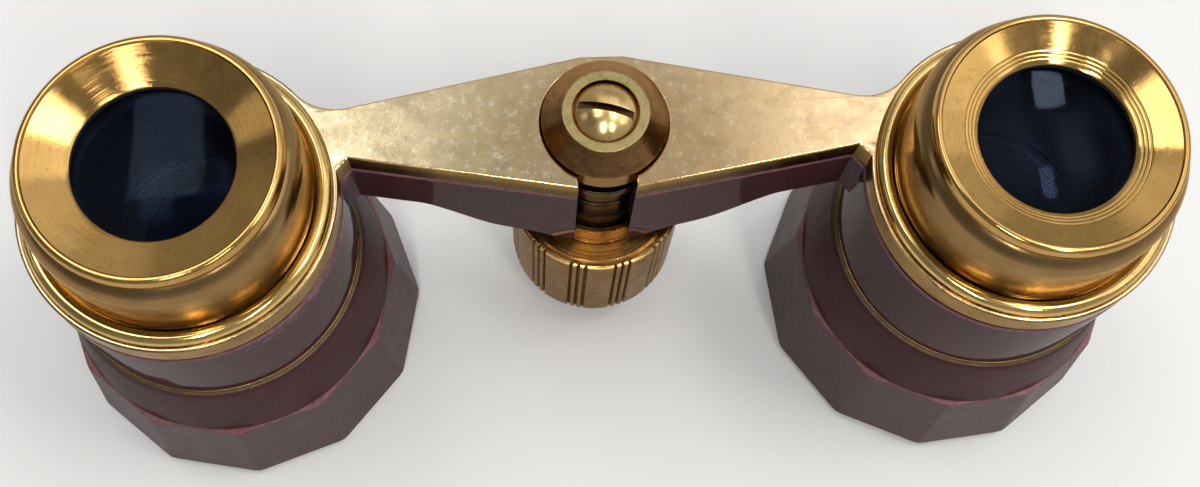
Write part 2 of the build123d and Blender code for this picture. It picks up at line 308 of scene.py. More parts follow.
# ---------------------------------------------------------------- materials
class Nodes:
    """A small wrapper that makes procedural materials short to write."""

    def __init__(self, name, base=(0.8, 0.8, 0.8), **sockets):
        self.material = bpy.data.materials.new(name)
        self.material.use_nodes = True
        self.tree = self.material.node_tree
        self.shader = self.tree.nodes["Principled BSDF"]
        self.shader.inputs["Base Color"].default_value = (*base, 1)
        for key, value in sockets.items():
            socket = self.shader.inputs[key.replace("_", " ")]
            socket.default_value = (*value, 1) if isinstance(value, tuple) else value
        self.coords = self.tree.nodes.new("ShaderNodeTexCoord").outputs["Object"]

    def add(self, kind, inputs=None, **settings):
        node = self.tree.nodes.new(kind)
        for key, value in settings.items():
            setattr(node, key, value)
        for key, value in (inputs or {}).items():
            if isinstance(value, bpy.types.NodeSocket):
                self.tree.links.new(value, node.inputs[key])
            else:
                node.inputs[key].default_value = value
        return node

    def math(self, operation, a, b=0.0):
        return self.add("ShaderNodeMath", {0: a, 1: b}, operation=operation).outputs[0]

    def noise(self, scale, detail=3.0, rough=0.55, coords=None):
        """Noise whose scale is in waves per millimetre."""
        node = self.add("ShaderNodeTexNoise", {
            "Vector": coords or self.coords, "Scale": scale / MM, "Detail": detail,
            "Roughness": rough})
        return node.outputs["Fac"]

    def fit(self, value, low, high, to_low=0.0, to_high=1.0):
        """Maps a value from one range to another and holds it at both ends."""
        node = self.add("ShaderNodeMapRange", {
            "Value": value, "From Min": low, "From Max": high, "To Min": to_low, "To Max": to_high})
        return node.outputs["Result"]

    def mix(self, factor, a, b):
        node = self.add("ShaderNodeMix", data_type="RGBA")
        for key, value in (("Factor", factor), ("A", a), ("B", b)):
            socket = next(s for s in node.inputs if s.name == key and s.enabled)
            if isinstance(value, bpy.types.NodeSocket):
                self.tree.links.new(value, socket)
            else:
                socket.default_value = (*value, 1) if isinstance(value, tuple) else value
        return next(s for s in node.outputs if s.enabled)

    def axes(self):
        return self.add("ShaderNodeSeparateXYZ", {"Vector": self.coords}).outputs

    def radius(self):
        """Distance from the piece's own axis, in metres."""
        flat = self.add("ShaderNodeVectorMath", {0: self.coords, 1: (1, 1, 0)},
                        operation="MULTIPLY")
        length = self.add("ShaderNodeVectorMath", {0: flat.outputs[0]}, operation="LENGTH")
        return length.outputs["Value"]

    def lathe_marks(self, scale):
        """Noise that only changes with radius and height, as turning marks do."""
        axis = self.axes()
        line = self.add("ShaderNodeCombineXYZ", {0: self.radius(), 1: 0.0, 2: axis[2]}).outputs[0]
        return self.noise(scale, 4.0, 0.6, line)

    def set(self, **links):
        for key, value in links.items():
            self.tree.links.new(value, self.shader.inputs[key.replace("_", " ")])

    def bump(self, height, distance, strength=1.0, under=None):
        inputs = {"Height": height, "Distance": distance * MM, "Strength": strength}
        if under:
            inputs["Normal"] = under
        return self.add("ShaderNodeBump", inputs).outputs[0]


EDGE_TINT = (0.93, 0.79, 0.62)        # keeps metals golden at grazing angles
BROWN_STAIN = (0.24, 0.13, 0.045)
DARK_PIT = (0.12, 0.055, 0.02)
# colour of the painted reflection of the bead ring and plate at the foot of the tubes
TUBE_PAINTED_REFLECTION = (0.42, 0.325, 0.19)
TUBE_PIT = (0.16, 0.08, 0.03)
PLATE_SPECKLE = (0.66, 0.62, 0.50)
DUST = (0.35, 0.3, 0.3)
WORN_LACQUER = (0.22, 0.10, 0.115)
COATING_TINT = (0.50, 0.64, 1.0)


def gilt(name, bright, dull, rough, marks=0.0, grain=0.0, aniso=0.0, spots=SPOT_SHARE):
    """Gilt brass: uneven colour, fine spots of tarnish, and turning marks on request."""
    m = Nodes(name, bright, Metallic=1.0, Roughness=rough, Anisotropic=aniso,
              Specular_Tint=EDGE_TINT)
    cloud = m.fit(m.noise(0.22, 4.0, 0.6), 0.36, 0.68)
    tint = m.mix(cloud, bright, dull)
    stain = m.fit(m.noise(0.55, 5.0, 0.7), 0.56, 0.70, 0.0, 0.3)
    tint = m.mix(stain, tint, BROWN_STAIN)
    pits = m.fit(m.noise(3.1, 3.0, 0.7), 0.62, 0.67)
    tint = m.mix(m.math("MULTIPLY", pits, spots), tint, DARK_PIT)
    smear = m.fit(m.noise(0.9, 5.0, 0.7), 0.3, 0.8, rough * 0.7, rough * 1.6)
    normal = m.bump(m.noise(1.4, 2.0), 0.004)
    if marks:
        lines = m.lathe_marks(9.0)
        normal = m.bump(lines, marks, 1.0, normal)
        tint = m.mix(m.fit(lines, 0.3, 0.7, 0.0, grain), tint, dull)
    if aniso:
        tangent = m.add("ShaderNodeTangent", direction_type="RADIAL", axis="Z").outputs[0]
        m.set(Tangent=tangent)
        m.shader.inputs["Anisotropic Rotation"].default_value = 0.25
    m.set(Base_Color=tint, Roughness=smear, Normal=normal)
    return m.material


def tube_gilt(name, low, high):
    """Dull gilt with a painted reflection of the bright bead ring and plate: paler in a band by the
    bead ring that starts just below the first level and fades out at the second."""
    m = Nodes(name, (0.34, 0.215, 0.085), Metallic=1.0, Roughness=0.22, Specular_Tint=EDGE_TINT)
    cloud = m.fit(m.noise(0.22, 4.0, 0.6), 0.36, 0.68)
    tint = m.mix(cloud, (0.28, 0.175, 0.072), (0.225, 0.135, 0.054))
    rise = m.fit(m.axes()[2], low * MM, high * MM)
    skirt = m.fit(m.axes()[2], (low - 1.3) * MM, (low - 1.1) * MM, 1.0, 0.0)
    # painted reflection: the tube is paler by the bead ring, where the bright ring and plate would
    # show in it
    tint = m.mix(m.math("MAXIMUM", rise, skirt), TUBE_PAINTED_REFLECTION, tint)
    pits = m.fit(m.noise(3.1, 3.0, 0.7), 0.62, 0.67)
    tint = m.mix(m.math("MULTIPLY", pits, 0.25), tint, TUBE_PIT)
    smear = m.fit(m.noise(0.9, 3.0, 0.6), 0.3, 0.8, 0.17, 0.27)
    m.set(Base_Color=tint, Roughness=smear, Normal=m.bump(m.noise(1.4, 2.0), 0.002))
    return m.material


def champagne():
    """Top plate: satin gilt, greener and more tarnished on the left, rosier on the right."""
    m = Nodes("champagne_gilt", (0.5, 0.42, 0.26), Metallic=1.0, Roughness=0.27)
    across = m.fit(m.axes()[0], -0.012, 0.012)
    tint = m.mix(across, (0.58, 0.48, 0.30), (0.62, 0.46, 0.27))
    cloud = m.fit(m.noise(0.35, 6.0, 0.68), 0.40, 0.66)
    dull = m.mix(across, (0.26, 0.205, 0.115), (0.30, 0.195, 0.095))
    handled = m.fit(m.radius(), 0.008, 0.017, 0.85, 0.1)
    tint = m.mix(m.math("MAXIMUM", m.math("MULTIPLY", cloud, 0.55), handled), tint, dull)
    speckle = m.fit(m.noise(1.5, 6.0, 0.75), 0.54, 0.70)
    pale = m.fit(across, 0.0, 1.0, 0.65, 0.25)
    tint = m.mix(m.math("MULTIPLY", speckle, pale), tint, PLATE_SPECKLE)
    rough = m.fit(m.noise(0.8, 5.0, 0.7), 0.35, 0.68, 0.13, 0.30)
    scratch_coords = m.add("ShaderNodeMapping", {
        "Vector": m.coords, "Rotation": (0, 0, 0.4), "Scale": (1, 14, 1)}).outputs[0]
    scratches = m.noise(0.5, 4.0, 0.7, scratch_coords)
    normal = m.bump(m.noise(2.2, 4.0, 0.7), 0.006)
    normal = m.bump(scratches, 0.003, 1.0, normal)
    m.set(Base_Color=tint, Roughness=rough, Normal=normal)
    return m.material


def plate_wall():
    """Edge of the top plate, gilt round the rings. Along the bridge it carries a painted
    reflection:
    cloudy dark brown low on the wall, gilt near its top edge.
    """
    m = Nodes("plate_wall_gilt", (0.2, 0.13, 0.06), Metallic=1.0, Roughness=0.3,
              Specular_Tint=EDGE_TINT)
    across = m.math("ABSOLUTE", m.axes()[0])
    ring = m.fit(across, 0.0185, 0.0200)
    cloud = m.fit(m.noise(0.35, 4.0, 0.6), 0.34, 0.66)
    # painted dark reflection: the wall along the bridge is brown, varied by a cloud of tone
    brown = m.mix(cloud, (0.040, 0.019, 0.010), (0.085, 0.048, 0.022))
    gold = m.mix(cloud, (0.28, 0.175, 0.070), (0.18, 0.11, 0.045))
    # painted reflection: the wall turns from dark brown low down to gilt near its top edge
    upper_reflection = m.fit(m.axes()[2], (PLATE_TOP - 1.2) * MM, (PLATE_TOP - 0.5) * MM)
    brown = m.mix(upper_reflection, brown, gold)
    m.set(Base_Color=m.mix(ring, brown, gold), Roughness=m.fit(cloud, 0.0, 1.0, 0.18, 0.32),
          Normal=m.bump(m.noise(2.5, 4.0, 0.7), 0.002))
    return m.material


def lacquer(name, base, deep, rough, coat, shine=0.0, worn_below=None):
    """Coloured lacquer over metal, with fine flake and a slightly uneven surface. On request it
    is worn pale in a band below a level, on the left barrel's side next to the bridge."""
    m = Nodes(name, base, Roughness=rough, Specular_IOR_Level=shine, Coat_Weight=coat,
              Coat_IOR=1.25, Coat_Roughness=0.05)
    cloud = m.fit(m.noise(0.16, 4.0, 0.6), 0.35, 0.7)
    tint = m.mix(cloud, base, deep)
    flakes = m.fit(m.noise(11.0, 2.0, 0.5), 0.56, 0.72)
    pale = tuple(min(1.0, 2.2 * c + 0.02) for c in base)
    tint = m.mix(m.math("MULTIPLY", flakes, 0.4), tint, pale)
    dust = m.fit(m.noise(4.0, 3.0, 0.8), 0.745, 0.77)
    tint = m.mix(m.math("MULTIPLY", dust, 0.5), tint, DUST)
    smear = m.fit(m.noise(0.5, 5.0, 0.7), 0.3, 0.75, rough * 0.9, rough * 1.15)
    normal = m.bump(m.noise(1.1, 3.0), 0.005)
    if worn_below:
        x, y, z = m.axes()
        high = m.fit(z, (worn_below - 1.7) * MM, (worn_below - 0.5) * MM)
        front = m.fit(y, 3.5 * MM, 0.5 * MM)
        inner = m.fit(x, (3.0 - AXIS) * MM, (6.5 - AXIS) * MM)
        scuffs = m.fit(m.noise(1.2, 6.0, 0.75), 0.44, 0.60)
        band = m.math("MULTIPLY", m.math("MULTIPLY", high, front),
                      m.math("MULTIPLY", inner, scuffs))
        short = m.fit(x, (14.0 - AXIS) * MM, (11.5 - AXIS) * MM)
        tint = m.mix(m.math("MULTIPLY", band, short), tint, WORN_LACQUER)
    m.set(Base_Color=tint, Roughness=smear, Normal=normal, Coat_Normal=normal)
    return m.material


def worn_edge(name, base, pale):
    """Edges where the lacquer is thin, rough and pinkish."""
    m = Nodes(name, base, Metallic=0.55, Roughness=0.45)
    chips = m.fit(m.noise(1.6, 5.0, 0.7), 0.36, 0.66)
    m.set(Base_Color=m.mix(chips, base, pale), Normal=m.bump(m.noise(5.0, 4.0, 0.7), 0.03))
    return m.material


def plain_metal(name, base, other, rough, marks):
    """Bare metal with turning marks of the given depth, and grime."""
    m = Nodes(name, base, Metallic=1.0, Roughness=rough, Specular_Tint=EDGE_TINT)
    lines = m.lathe_marks(5.0)
    tint = m.mix(m.fit(lines, 0.35, 0.65), base, other)
    grime = m.fit(m.noise(1.3, 5.0, 0.7), 0.48, 0.68, 0.0, 0.6)
    tint = m.mix(grime, tint, tuple(0.35 * c for c in base))
    smear = m.fit(m.noise(1.0, 4.0, 0.7), 0.3, 0.75, rough * 0.7, rough * 1.4)
    m.set(Base_Color=tint, Roughness=smear, Normal=m.bump(lines, marks))
    return m.material


def blackened(name, base=(0.012, 0.012, 0.013), rough=0.5):
    """Matt black with a fine grain and faint turning marks."""
    m = Nodes(name, base, Roughness=rough)
    grain = m.noise(4.0, 4.0, 0.7)
    m.set(Base_Color=m.mix(m.fit(grain, 0.4, 0.8), base, tuple(3 * c for c in base)),
          Roughness=m.fit(grain, 0.3, 0.7, rough * 0.8, rough * 1.2),
          Normal=m.bump(m.lathe_marks(4.0), 0.01))
    return m.material


def glass(name, tint):
    """Optical glass with a film of dust. The IOR is below real glass's, which weakens the
    reflections as a coating does."""
    m = Nodes(name, tint, Roughness=0.02, IOR=1.17, Transmission_Weight=1.0,
              Specular_Tint=COATING_TINT)
    smear = m.fit(m.noise(0.6, 6.0, 0.7), 0.45, 0.8, 0.01, 0.06)
    darker = tuple(0.8 * c for c in tint)
    m.set(Roughness=smear, Base_Color=m.mix(m.noise(0.4, 3.0), tint, darker))
    return m.material


GOLD = (0.52, 0.32, 0.105)
cup_look = {
    "left": gilt("turned_gilt", GOLD, (0.43, 0.25, 0.08), 0.13,
                 marks=0.012, grain=0.25, aniso=0.8),
    "right": gilt("polished_cup_gilt", GOLD, (0.44, 0.265, 0.085), 0.13,
                  marks=0.006, grain=0.12, aniso=0.65),
}
# the band of painted reflection on the tubes fades out between these two levels
tube_look = tube_gilt("polished_gilt", PLATE_TOP + 0.9, PLATE_TOP + 3.2)
# bright gilt of the bead rings, also used on the plate's bevels as a painted highlight
ring_and_highlight_look = gilt("bright_gilt", (0.72, 0.50, 0.19), (0.52, 0.35, 0.125), 0.12)
plate_look = champagne()
wall_look = plate_wall()
seam_look = gilt("seam_gilt", (0.36, 0.25, 0.10), (0.20, 0.13, 0.05), 0.3)
cap_look = plain_metal("dark_bronze", (0.30, 0.155, 0.060), (0.22, 0.115, 0.045), 0.2, 0.006)
cap_face_look = plain_metal("worn_brass", (0.38, 0.29, 0.13), (0.27, 0.21, 0.09), 0.35, 0.02)
screw_look = gilt("screw_brass", (0.74, 0.53, 0.23), (0.60, 0.41, 0.16), 0.22, spots=0.5)
# painted shade: dark colour that stands for the shade inside the screw's slot
slot_shade_look = plain_metal("screw_slot", (0.10, 0.05, 0.02), (0.05, 0.025, 0.012), 0.4, 0.02)
pillar_look = plain_metal("oiled_steel", (0.045, 0.032, 0.020), (0.012, 0.008, 0.005), 0.2, 0.03)
bearing_look = plain_metal("cast_brass", (0.30, 0.18, 0.06), (0.13, 0.075, 0.025), 0.3, 0.02)
wheel_look = gilt("wheel_gilt", (0.20, 0.110, 0.050), (0.15, 0.082, 0.037), 0.3)
wheel_face_look = gilt("wheel_face_gilt", (0.80, 0.50, 0.18), (0.56, 0.34, 0.12), 0.2,
                       marks=0.02, grain=0.3, aniso=0.4)
body_look = lacquer("plum_lacquer", (0.052, 0.018, 0.020), (0.040, 0.014, 0.016), 0.35, 0.45,
                    worn_below=BODY_TOP)
cell_look = lacquer("mauve_lacquer", (0.052, 0.016, 0.018), (0.040, 0.012, 0.014), 0.5, 0.05, 0.1)
facet_look = lacquer("facet_lacquer", (0.068, 0.035, 0.037), (0.054, 0.028, 0.030), 0.45, 0.0, 0.2)
edge_look = worn_edge("worn_lacquer", (0.14, 0.056, 0.062), (0.22, 0.105, 0.115))
collar_top_look = worn_edge("worn_collar", (0.09, 0.06, 0.035), (0.15, 0.105, 0.05))
black_look = blackened("black_paint")
felt_look = blackened("black_felt", (0.02, 0.02, 0.02), 0.9)
glass_look = glass("eye_glass", (0.62, 0.72, 0.95))
objective_look = glass("objective_glass", (0.80, 0.86, 0.95))


# ---------------------------------------------------------------- eyepieces
def blacken_inside(piece, radius, top):
    """Black paint on the faces inside the radius and below the top level."""
    paint(piece, black_look, lambda face: from_axis(face) < radius and face.center.z / MM < top)


def eyepiece_cup(side):
    """Rim and dished face round the eye opening; the right cup has three turned grooves."""
    here = cup[side]
    crest = here.high
    top = crest - 1.3
    opening = 5.57
    face = [(opening, top - 0.1), (opening + 0.12, top), (opening + 0.3, top + 0.07)]
    grooves = (0.42, 0.68, 0.96) if side == "right" else ()
    slope = (crest - 0.16 - top - 0.07) / (here.r - 0.62 - opening - 0.3)
    for offset in grooves:
        level = top + 0.07 + slope * (offset - 0.3)
        r = opening + offset
        face += [(r - 0.05, level - 0.05 * slope), (r, level - 0.022),
                 (r + 0.05, level + 0.05 * slope)]
    lip = [(here.r - 0.62, crest - 0.16)] + arc((here.r - 0.42, crest - 0.36), 0.36, 108, 20, 8)
    foot = tube[side].high + 0.02
    outside = [(here.r, crest - 0.6), (here.r, foot), (8.2, foot)]
    inside = [(8.17, here.low), (7.23, here.low), (7.23, 36.55), (opening, 36.6)]
    profile = face + lip + outside + inside
    piece = turned("cup_" + side, profile, here, cup_look[side], 192, 28)
    blacken_inside(piece, 8.2, top - 0.3)
    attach(piece, "carriage")
    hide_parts(side + "_eyepiece_cup")


def eyepiece_tube(side):
    """Polished sleeve with a narrow neck inside the bead ring and a rounded shoulder."""
    here = tube[side]
    shoulder = here.high - 1.75
    skirt = 8.8
    neck = here.r - 0.2
    neck_top = PLATE_TOP + 0.85
    ledge = PLATE_TOP - 0.05
    profile = [(8.1, here.low), (skirt, here.low), (skirt, ledge), (neck, ledge), (neck, neck_top),
               (here.r - 0.04, neck_top), (here.r, neck_top + 0.06), (here.r, shoulder)]
    profile += arc((here.r - 1.75, shoulder), 1.75, 4, 62, 12)
    profile += [(here.r - 0.95, here.high - 0.12), (here.r - 1.0, here.high), (8.2, here.high),
                (8.2, 34.6), (7.3, 34.6), (7.3, 31.0), (8.1, 30.2)]
    piece = turned("tube_" + side, profile, here, tube_look, 192)
    blacken_inside(piece, 8.3, here.high)
    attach(piece, "carriage")
    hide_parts(side + "_eyepiece_tube")


def bead_ring(side):
    """Rounded bead between the plate and the tube."""
    bead_r = 10.5
    inner = tube[side].r + 0.01
    level = PLATE_TOP + 0.12
    bore, wall, foot = 8.84, RING_R - 0.42, PLATE_BASE + 0.05
    profile = [(bore, foot), (wall, foot), (wall, PLATE_TOP - 0.16)]
    profile += arc((bead_r, level), 0.58, -8, 150, 16)
    profile += [(inner, level + 0.12), (inner, level - 0.3), (bore, level - 0.3)]
    piece = turned("bead_ring_" + side, profile, tube[side], ring_and_highlight_look, 192)
    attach(piece, "carriage")


# ---------------------------------------------------------------- bridges
def bridge_plan(ring_r, inset):
    """Right half of a bridge's outline, without the ring: the two ends of the front wall, the
    corner where it meets the ring, the flare behind the ring and the middle of the back wall."""
    front = [(SLOT_HALF_WIDTH, BRIDGE_FRONT_Y + inset), (18.85, 2.65 + inset)]
    corner_y = 1.7
    corner = (AXIS - math.sqrt(ring_r ** 2 - corner_y ** 2), corner_y)
    back_start = Vector((1.6, 10.3 - inset))
    direction = (Vector((20.0, 6.45 - inset)) - back_start).normalized()
    outward = Vector((-direction.y, direction.x))
    flare = 4.0
    ring_centre = Vector((AXIS, 0))
    offset = back_start + outward * flare - ring_centre
    b = offset.dot(direction)
    reach = -b - math.sqrt(b * b - offset.length_squared + (ring_r + flare) ** 2)
    centre = back_start + direction * reach + outward * flare
    foot = back_start + direction * reach
    touch = ring_centre + (centre - ring_centre).normalized() * ring_r
    a0 = math.atan2(touch.y - centre.y, touch.x - centre.x)
    a1 = math.atan2(foot.y - centre.y, foot.x - centre.x)
    fillet = []
    steps = 12
    for k in range(steps + 1):
        a = a0 + (a1 - a0) * k / steps
        fillet.append((centre.x + flare * math.cos(a), centre.y + flare * math.sin(a)))
    return front, corner, fillet, tuple(back_start)


def ring_arc(radius, start, end, count):
    """Points round the right-hand ring, angles in radians, both ends left out."""
    points = []
    for k in range(1, count):
        a = start + (end - start) * k / count
        points.append((AXIS + radius * math.cos(a), radius * math.sin(a)))
    return points


def flowing(knots):
    """A smooth line through the knots."""
    steps = 6
    points = [knots[0]]
    for i in range(len(knots) - 1):
        p0, p1 = Vector(knots[max(i - 1, 0)]), Vector(knots[i])
        p2, p3 = Vector(knots[i + 1]), Vector(knots[min(i + 2, len(knots) - 1)])
        for k in range(1, steps + 1):
            t = k / steps
            bend = 2 * p1 + (p2 - p0) * t + (2 * p0 - 5 * p1 + 4 * p2 - p3) * t * t
            points.append(tuple((bend + (3 * p1 - p0 - 3 * p2 + p3) * t ** 3) / 2))
    return points


def mirrored(points):
    return [(-x, y) for x, y in reversed(points)]


def notch(slot_x, slot_front, r):
    """The slot and the round hole behind it, from the left edge to the right one."""
    dy = math.sqrt(r * r - slot_x * slot_x)
    start = math.atan2(-dy, -slot_x)
    points = [(-slot_x, slot_front)]
    end = math.atan2(-dy, slot_x)
    sweep = -(2 * math.pi - (end - start))
    steps = 40
    for k in range(steps + 1):
        a = start + sweep * k / steps
        points.append((r * math.cos(a), SPINDLE_Y + r * math.sin(a)))
    return points


def full_outline(radius, inset, notch_r, through_rings):
    """Whole outline, anticlockwise. With through_rings the rings' outer circles are part of it,
    otherwise the bridge ends inside the barrels' walls."""
    front, corner, fillet, back = bridge_plan(radius, inset)
    right = front + [corner]
    start = math.atan2(corner[1], corner[0] - AXIS)
    touch = math.atan2(fillet[0][1], fillet[0][0] - AXIS)
    if through_rings:
        right += ring_arc(radius, start - 2 * math.pi if start > 0 else start, touch, 150)
    else:
        right += ring_arc(radius - 0.7, start, touch, 12)
    right += fillet + [back]
    return notch(SLOT_HALF_WIDTH, BRIDGE_FRONT_Y + inset, notch_r) + right + mirrored(right)


def eyepiece_bridge():
    """Gilt plate that joins the eyepieces: satin top, bevels in the bright ring gilt as a painted
    highlight, and walls that are brown along the bridge as a painted dark reflection."""
    outline = full_outline(RING_R, 0.0, cap.r + 0.05, True)
    holes = [clockwise_circle(x, 0, RING_R - 0.40, 160) for x in (-AXIS, AXIS)]
    bevel = 0.16
    piece = slab("bridge_plate", [outline] + holes, PLATE_BASE, PLATE_TOP, bevel, plate_look, 3)
    piece.data.materials.append(wall_look)
    piece.data.materials.append(ring_and_highlight_look)
    wall_slot, bevel_highlight_slot = 1, 2
    for polygon in piece.data.polygons:
        middle = polygon.center / MM
        rim = math.hypot(abs(middle.x) - AXIS, middle.y) > RING_R - 0.2
        by_ring = rim and abs(middle.x) > AXIS - 8
        if abs(polygon.normal.z) < (0.9 if by_ring else 0.2):
            polygon.material_index = wall_slot
        # painted highlight: the bridge's slanted bevels get the brighter ring gilt
        elif polygon.normal.z < 0.9:
            polygon.material_index = bevel_highlight_slot
    even_shading(piece)
    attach(piece, "carriage")
    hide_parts("eyepiece_bridge")


def body():
    """Two barrels and the arched bridge between them, the recess for the pillar's
    flange and the hole for the bearing ring."""
    bore = 10.1
    mouth = 9.75
    arch_low, arch_high = 18.1, 22.15
    outline = full_outline(BARREL_R, 0.08, pillar.r - 0.55, False)
    web = slab("body", [outline], 17.0, BODY_TOP, 0.2, body_look, 2)
    knots = [(3.4, arch_low), (5.4, 18.75), (8.0, 19.15), (9.6, 19.75), (12.2, 21.35), (13.8, 22.1),
             (15.6, arch_high)]
    right_half = [(0.0, arch_low)] + flowing(knots) + [(40.0, arch_high), (40.0, BODY_TOP + 1)]
    arch = right_half + mirrored(right_half[1:])
    carve(web, prism("arch", arch, -20, 30, "Y"), "INTERSECT")
    seat = SimpleNamespace(x=0, y=SPINDLE_Y)
    for name, r, low, high in (("recess", 4.75, BODY_TOP - 1.75, BODY_TOP + 1),
                               ("hole", bearing.r + 0.03, 17.0, 20.05)):
        cutter = turned(name, [(0, low), (r, low), (r, high), (0, high)], seat, None, 96)
        carve(web, cutter, "DIFFERENCE")
    for side in SIDES:
        profile = rounded([
            (10.9, 12.4), (BARREL_R, BARREL_BASE), (BARREL_R, BODY_TOP, 0.2),
            (mouth, BODY_TOP, 0.1), (mouth, BODY_TOP - 0.5), (bore, BODY_TOP - 0.5),
            (bore, 12.4)], 4)
        profile.insert(1, Vector((10.9, BARREL_BASE)))
        barrel = turned("barrel_" + side, profile, tube[side], None, 192)
        carve(web, barrel, "UNION")
    paint(web, edge_look, lambda face: (
        face.center.z > (BODY_TOP - 0.21) * MM and 0.15 < abs(face.normal.z) < 0.97))
    even_shading(web)
    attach(web, "body")
    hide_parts("body_casting")


# ---------------------------------------------------------------- objective cells
def objective_cell(side, phase):
    """Twelve flats below a conical collar, turned by the phase in degrees; the flats' corners
    stand out as thin crescents."""
    flats = 12
    per_flat = 16
    half = math.pi / flats

    def polygon(corner_r, softness):
        """A twelve-sided ring whose corners are cut back by the softness."""
        ring = []
        for k in range(flats * per_flat):
            a = 2 * math.pi * k / (flats * per_flat)
            within = (a % (2 * half)) - half
            r = corner_r * math.cos(half) / math.cos(within)
            ring.append((a + math.radians(phase), min(r, corner_r - softness)))
        return ring

    def round_ring(r):
        count = flats * per_flat
        return [(2 * math.pi * k / count + math.radians(phase), r) for k in range(count)]

    collar_foot = 13.7 * math.cos(half) - 0.06
    layers = [
        (round_ring(13.2), 0.0), (polygon(14.35, 0.1), 0.0), (polygon(14.5, 0.1), 0.04),
        (polygon(15.05, 0.05), 0.9), (polygon(15.13, 0.05), 1.02), (polygon(13.76, 0.05), 10.66),
        (polygon(13.66, 0.05), 10.78), (polygon(13.55, 0.05), 10.8),
        (round_ring(collar_foot + 0.05), 10.8), (round_ring(collar_foot), 10.86),
        (round_ring(12.02), 17.02), (round_ring(11.95), 17.22), (round_ring(11.78), 17.52),
        (round_ring(11.58), seam[side].low), (round_ring(10.95), seam[side].low),
        (round_ring(10.95), 12.3), (round_ring(10.2), 12.3), (round_ring(11.7), 9.2),
        (round_ring(12.53), 9.2), (round_ring(12.53), 2.0), (round_ring(12.8), 2.0),
        (round_ring(13.15), 0.45)]
    bm = bmesh.new()
    rings = []
    for ring, z in layers:
        rings.append([ring_vert(bm, r, a, z) for a, r in ring])
    skin(bm, rings, True)
    name = "cell_" + side
    piece = new_object(name, finish_mesh(bm, name, 14), cell_look)
    piece.location = (tube[side].x * MM, 0, 0)
    for look in (edge_look, collar_top_look, facet_look):
        piece.data.materials.append(look)
    edge_slot, collar_slot, facet_slot = 1, 2, 3
    for face in piece.data.polygons:
        level = face.center.z / MM
        out = from_axis(face)
        if 10.67 < level < 10.84 and out > 12.9:
            face.material_index = edge_slot
        elif 17.45 < level < 17.66 and out > 11.6:
            face.material_index = collar_slot
        elif level < 10.7 and out > 13.0:
            face.material_index = facet_slot
    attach(piece, "body")
    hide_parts(side + "_objective_cell")


def seam_ring(side):
    """Bare gilt ring between the barrel and its cell."""
    here = seam[side]
    bore, edge = 10.95, BARREL_R + 0.06
    profile = rounded([
        (bore, here.low), (edge, here.low), (edge, here.high, 0.05), (bore, here.high)], 3)
    piece = turned("seam_" + side, profile, here, seam_look, 192)
    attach(piece, "body")
    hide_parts(side + "_seam_ring")


# ---------------------------------------------------------------- optics
def eye_lens(side):
    """Biconcave lens with spherical faces."""
    here = eye[side]
    r = here.r
    top_edge, top_mid = here.high, here.high - 0.9
    low_edge, low_mid = here.low, here.low + 1.1

    def bowl(mid, edge):
        """Profile of one face, from the axis to the edge."""
        count = 18
        sag = edge - mid
        sphere = (r * r + sag * sag) / (2 * abs(sag))
        rise = []
        for k in range(count + 1):
            x = r * k / count
            rise.append((x, mid + math.copysign(sphere - math.sqrt(sphere * sphere - x * x), sag)))
        return rise

    profile = bowl(low_mid, low_edge) + list(reversed(bowl(top_mid, top_edge)))
    piece = turned("eye_lens_" + side, profile, here, glass_look, 128)
    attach(piece, "carriage")
    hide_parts(side + "_eye_lens")


# ---------------------------------------------------------------- focusing gear
def cone_cap():
    """Bronze cap with a conical shoulder, a flat brass face and a sunk seat for the screw."""
    face_r = 3.18
    profile = rounded([
        (1.55, cap.low), (cap.r, cap.low), (cap.r, cap.high - 1.5, 0.12), (face_r, cap.high, 0.1),
        (2.47, cap.high, 0.06), (2.47, cap.high - 1.05), (1.55, cap.high - 1.05)], 4)
    piece = turned("cap", profile, cap, cap_look, 144)
    paint(piece, cap_face_look, lambda face: (
        face.center.z / MM > cap.high - 0.12 and from_axis(face) < face_r + 0.05))
    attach(piece, "carriage")
    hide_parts("cone_cap")


def cap_screw():
    """Dome-headed screw; its slot is painted dark, as painted shade."""
    head = 2.36
    shoulder = cap.high - 0.25
    rise = screw.high - shoulder
    sphere = (head * head + rise * rise) / (2 * rise)
    dome = []
    steps = 14
    for k in range(steps + 1):
        x = head * math.cos(math.pi / 2 * k / steps)
        dome.append((x, shoulder - (sphere - rise) + math.sqrt(sphere * sphere - x * x)))
    under_head = 31.22
    profile = [(0, screw.low), (1.5, screw.low), (1.5, under_head), (head - 0.08, under_head),
               (head, 31.3)] + dome
    piece = turned("screw", profile, screw, screw_look, 128)
    half_width = 0.28         # of the slot
    turn = math.radians(-13)  # of the slot from the line between the eyepieces
    floor_level = screw.high - 0.75
    outline = [(-4, -half_width), (4, -half_width), (4, half_width), (-4, half_width)]
    cutter = prism("slot", outline, floor_level, screw.high + 1)
    cutter.location = piece.location
    cutter.rotation_euler.z = turn
    carve(piece, cutter, "DIFFERENCE")

    def in_slot(face):
        middle = face.center / MM
        off_line = abs(middle.y * math.cos(turn) - middle.x * math.sin(turn))
        return off_line < half_width + 0.01 and middle.z > floor_level - 0.01

    # painted shade on the slot's walls and floor
    paint(piece, slot_shade_look, in_slot)
    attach(piece, "carriage")
    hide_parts("cap_screw")


